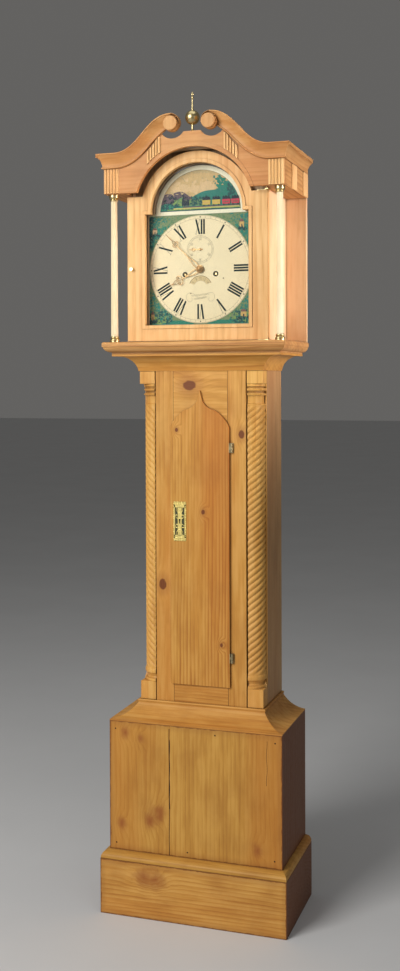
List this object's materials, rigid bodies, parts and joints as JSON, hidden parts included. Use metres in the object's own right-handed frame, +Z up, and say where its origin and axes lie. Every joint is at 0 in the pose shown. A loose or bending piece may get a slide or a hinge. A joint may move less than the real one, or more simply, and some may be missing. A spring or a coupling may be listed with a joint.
{
  "type": "longcase clock",
  "caption": "Tall pine longcase clock with a swan-neck hood, painted break-arch dial, ogee trunk door, twist corner columns and a weight-driven movement.",
  "frame": {"origin": "on the floor, under the middle of the overall width and depth", "axes": "+Z up, +X to the viewer's right, -Y towards the viewer; the flat back faces +Y"},
  "size_m": [0.5494, 0.294, 2.2564],
  "materials": {
    "pine": "waxed",
    "pine_dark": "waxed",
    "raw_wood": "unfinished",
    "brass": "polished",
    "old_brass": "aged",
    "steel": "satin",
    "iron": "dull",
    "glass": "clear",
    "dial_paint": "satin",
    "bell_metal": "satin",
    "gut": "matte"
  },
  "bodies": {
    "case": {"base_floor_board": "raw_wood", "skirt_boards": "pine_dark", "skirt_moulding": "pine_dark", "base_boards": "pine_dark", "waist_moulding": "pine_dark", "trunk_face_frame": "pine_dark", "trunk_side_boards": "pine_dark", "quarter_columns": "pine_dark", "backboard": "raw_wood", "backboard_ears": "pine", "throat_moulding": "pine_dark", "seat_board": "raw_wood", "case_hinges": "steel", "dial_plate": "dial_paint", "movement_plates": "old_brass", "movement_pillars": "old_brass", "bell": "bell_metal", "going_line": "gut", "strike_line": "gut"},
    "hood": {"hood_base_moulding": "pine", "hood_side_boards": "pine", "dial_mask": "raw_wood", "hood_frieze_board": "pine", "frieze_side_boards": "pine", "arch_moulding": "pine", "swan_necks": "pine", "scroll_discs": "pine", "side_cornices": "pine", "reeded_blocks": "pine", "hood_roof_board": "raw_wood", "hood_columns": "pine", "column_brasses": "brass", "finial": "brass"},
    "hood_door": {"hood_door_frame": "pine", "hood_door_bead": "pine", "hood_door_glass": "glass", "hood_door_fittings": "brass"},
    "trunk_door": {"trunk_door": "pine_dark", "door_hinges": "steel", "door_lock_case": "iron", "escutcheon_plate": "brass"},
    "lock_bolt": {"lock_bolt": "steel"},
    "minute_train": {"centre_wheel": "old_brass", "minute_hand": "old_brass"},
    "minute_wheel": {"minute_wheel": "old_brass"},
    "hour_train": {"hour_wheel": "old_brass", "hour_hand": "old_brass"},
    "going_great_wheel": {"going_great_wheel": "old_brass"},
    "third_wheel": {"third_wheel": "old_brass"},
    "escape_train": {"escape_wheel": "old_brass", "seconds_hand": "old_brass"},
    "going_barrel": {"going_barrel": "old_brass"},
    "strike_barrel": {"strike_barrel": "old_brass"},
    "strike_great_wheel": {"strike_great_wheel": "old_brass"},
    "pallet_anchor": {"pallet_anchor": "steel"},
    "pendulum": {"pendulum_rod": "steel", "pendulum_bob": "old_brass"},
    "bell_hammer": {"bell_hammer": "steel"},
    "going_weight": {"going_weight": "iron"},
    "strike_weight": {"strike_weight": "iron"}
  },
  "joints": [
    {"name": "hood_slide", "type": "slide", "parent": "case", "child": "hood", "axis": [0, -1, 0], "range_m": [0, 0.32]},
    {"name": "hood_door_swing", "type": "hinge", "parent": "hood", "child": "hood_door", "pos_m": [0.203, -0.0957, 1.79], "axis": [0, 0, 1], "range_deg": [0, 110]},
    {"name": "trunk_door_swing", "type": "hinge", "parent": "case", "child": "trunk_door", "pos_m": [0.0915, -0.06, 1], "axis": [0, 0, 1], "range_deg": [0, 110]},
    {"name": "lock_bolt_throw", "type": "slide", "parent": "trunk_door", "child": "lock_bolt", "axis": [-1, 0, 0], "range_m": [0, 0.008]},
    {"name": "minute_turn", "type": "hinge", "parent": "case", "child": "minute_train", "pos_m": [0, 0.017, 1.783], "axis": [0, 1, 0], "continuous": true},
    {"name": "minute_wheel_turn", "type": "hinge", "parent": "case", "child": "minute_wheel", "pos_m": [-0.01377, -0.021, 1.76334], "axis": [0, 1, 0], "continuous": true},
    {"name": "hour_turn", "type": "hinge", "parent": "case", "child": "hour_train", "pos_m": [0, 0.017, 1.783], "axis": [0, 1, 0], "continuous": true},
    {"name": "going_great_wheel_turn", "type": "hinge", "parent": "case", "child": "going_great_wheel", "pos_m": [0.0445, 0.017, 1.769], "axis": [0, 1, 0], "continuous": true},
    {"name": "third_wheel_turn", "type": "hinge", "parent": "case", "child": "third_wheel", "pos_m": [0.01123, 0.017, 1.81147], "axis": [0, 1, 0], "continuous": true},
    {"name": "escape_turn", "type": "hinge", "parent": "case", "child": "escape_train", "pos_m": [0, 0.017, 1.8375], "axis": [0, 1, 0], "continuous": true},
    {"name": "going_weight_lift", "type": "slide", "parent": "case", "child": "going_weight", "axis": [0, 0, 1], "range_m": [0, 1.236], "deforming": ["going_line"]},
    {"name": "strike_weight_lift", "type": "slide", "parent": "case", "child": "strike_weight", "axis": [0, 0, 1], "range_m": [0, 1.236], "deforming": ["strike_line"]},
    {"name": "going_barrel_turn", "type": "hinge", "parent": "case", "child": "going_barrel", "pos_m": [0.0445, 0.017, 1.769], "axis": [0, 1, 0], "range_deg": [-1, 5736]},
    {"name": "strike_barrel_turn", "type": "hinge", "parent": "case", "child": "strike_barrel", "pos_m": [-0.0445, 0.017, 1.769], "axis": [0, 1, 0], "range_deg": [-5736, 1]},
    {"name": "strike_great_wheel_turn", "type": "hinge", "parent": "case", "child": "strike_great_wheel", "pos_m": [-0.0445, 0.017, 1.769], "axis": [0, 1, 0], "continuous": true},
    {"name": "pendulum_swing", "type": "hinge", "parent": "case", "child": "pendulum", "pos_m": [0, 0.062, 1.863], "axis": [0, 1, 0], "range_deg": [-2.5, 2.5]},
    {"name": "pallet_rock", "type": "hinge", "parent": "case", "child": "pallet_anchor", "pos_m": [0, 0.017, 1.863], "axis": [0, 1, 0], "range_deg": [-2.5, 2.5]},
    {"name": "hammer_lift", "type": "hinge", "parent": "case", "child": "bell_hammer", "pos_m": [-0.058, 0.016, 1.845], "axis": [0, 1, 0], "range_deg": [-12, 0], "stiffness_Nm_per_rad": 0.08}
  ],
  "couplings": [
    {"joint": "minute_wheel_turn", "follows": "minute_turn", "ratio": -1},
    {"joint": "hour_turn", "follows": "minute_turn", "ratio": 0.083333},
    {"joint": "going_great_wheel_turn", "follows": "minute_turn", "ratio": -0.083333},
    {"joint": "third_wheel_turn", "follows": "minute_turn", "ratio": -7.5},
    {"joint": "escape_turn", "follows": "minute_turn", "ratio": 60},
    {"joint": "going_barrel_turn", "follows": "going_weight_lift", "rad_per_m": 80.972},
    {"joint": "strike_barrel_turn", "follows": "strike_weight_lift", "rad_per_m": -80.972},
    {"joint": "pallet_rock", "follows": "pendulum_swing", "ratio": 1}
  ]
}
